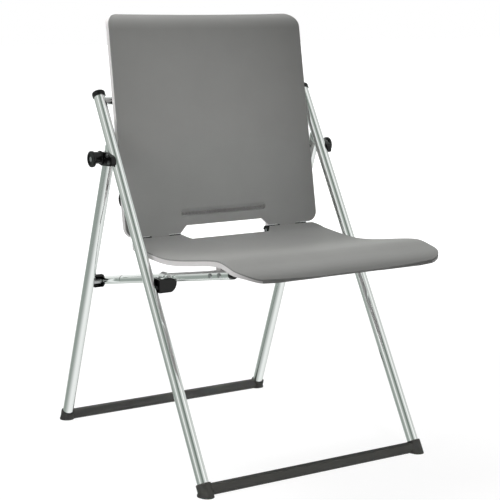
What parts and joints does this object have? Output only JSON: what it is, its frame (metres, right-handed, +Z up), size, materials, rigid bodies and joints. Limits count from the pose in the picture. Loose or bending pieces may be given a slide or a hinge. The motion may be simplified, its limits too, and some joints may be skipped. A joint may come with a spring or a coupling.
{
  "type": "folding nesting chair",
  "caption": "Folding nesting chair on crossed bright tube legs, with a moulded seat and backrest, a hand gap between them and dark foot bars.",
  "frame": {"origin": "on the floor, under the middle of the chair's width and depth when it stands open", "axes": "+X to the sitter's left, +Y to the rear of the chair, +Z up; the sitter faces -Y"},
  "size_m": [0.5596, 0.708, 0.8522],
  "materials": {
    "chrome_tube": "bright chrome plate on steel tube",
    "steel_parts": "plain zinc-plated steel",
    "grey_panel": "mid grey moulded plastic with a fine grain",
    "pale_shell": "pale grey moulded plastic",
    "black_plastic": "black moulded nylon",
    "foot_plastic": "dark grey moulded plastic",
    "rubber_pad": "black rubber"
  },
  "bodies": {
    "front_frame": {"front_leg_left": "chrome_tube", "front_leg_right": "chrome_tube", "top_cross_tube": "chrome_tube", "front_leg_cap_left": "black_plastic", "front_leg_cap_right": "black_plastic", "front_foot_bar": "foot_plastic", "front_bar_core": "steel_parts", "pivot_plate_left": "black_plastic", "pivot_plate_right": "black_plastic", "pivot_plate_rivets": "steel_parts", "pivot_bolt_left": "steel_parts", "pivot_bolt_right": "steel_parts", "link_knob_left": "black_plastic", "link_knob_right": "black_plastic", "seat_pivot_stud_left": "steel_parts", "seat_pivot_stud_right": "steel_parts"},
    "rear_frame": {"rear_leg_left": "chrome_tube", "rear_leg_right": "chrome_tube", "rear_leg_stop_left": "black_plastic", "rear_leg_stop_right": "black_plastic", "pivot_bush_left": "black_plastic", "pivot_bush_right": "black_plastic", "lock_pin_left": "steel_parts", "lock_pin_right": "steel_parts", "rear_foot_bar": "foot_plastic", "rear_bar_core": "steel_parts"},
    "seat": {"seat_panel": "grey_panel", "seat_shell": "pale_shell", "seat_rail_left": "chrome_tube", "seat_rail_right": "chrome_tube", "seat_cross_tube": "chrome_tube", "rail_hook_left": "black_plastic", "rail_hook_right": "black_plastic", "hook_screws": "steel_parts", "rail_plug_left": "black_plastic", "rail_plug_right": "black_plastic", "pivot_saddle_left": "black_plastic", "pivot_saddle_right": "black_plastic", "rail_strap_left": "chrome_tube", "rail_strap_right": "chrome_tube", "strap_screws": "steel_parts", "rail_screws": "steel_parts", "seat_hinge_left": "black_plastic", "seat_hinge_right": "black_plastic", "seat_hinge_screws": "steel_parts", "hinge_pin_left": "steel_parts", "hinge_pin_right": "steel_parts"},
    "backrest": {"backrest_panel": "grey_panel", "backrest_shell": "pale_shell", "back_hinge_left": "black_plastic", "back_hinge_right": "black_plastic", "back_screws": "steel_parts", "cross_tube_guide_left": "black_plastic", "cross_tube_guide_right": "black_plastic", "back_buffers": "rubber_pad"}
  },
  "joints": [
    {"name": "seat_fold", "type": "hinge", "parent": "front_frame", "child": "seat", "pos_m": [0, -0.04751, 0.34588], "axis": [1, 0, 0], "range_deg": [0, 50]},
    {"name": "rear_leg_fold", "type": "hinge", "parent": "front_frame", "child": "rear_frame", "pos_m": [0, 0.11601, 0.5771], "axis": [1, 0, 0], "range_deg": [-48, 0]},
    {"name": "backrest_fold", "type": "hinge", "parent": "seat", "child": "backrest", "pos_m": [0, 0.07552, 0.41347], "axis": [1, 0, 0], "range_deg": [-76, 0]}
  ],
  "couplings": [
    {"joint": "rear_leg_fold", "follows": "seat_fold", "ratio": -0.96},
    {"joint": "backrest_fold", "follows": "seat_fold", "ratio": -1.52}
  ]
}
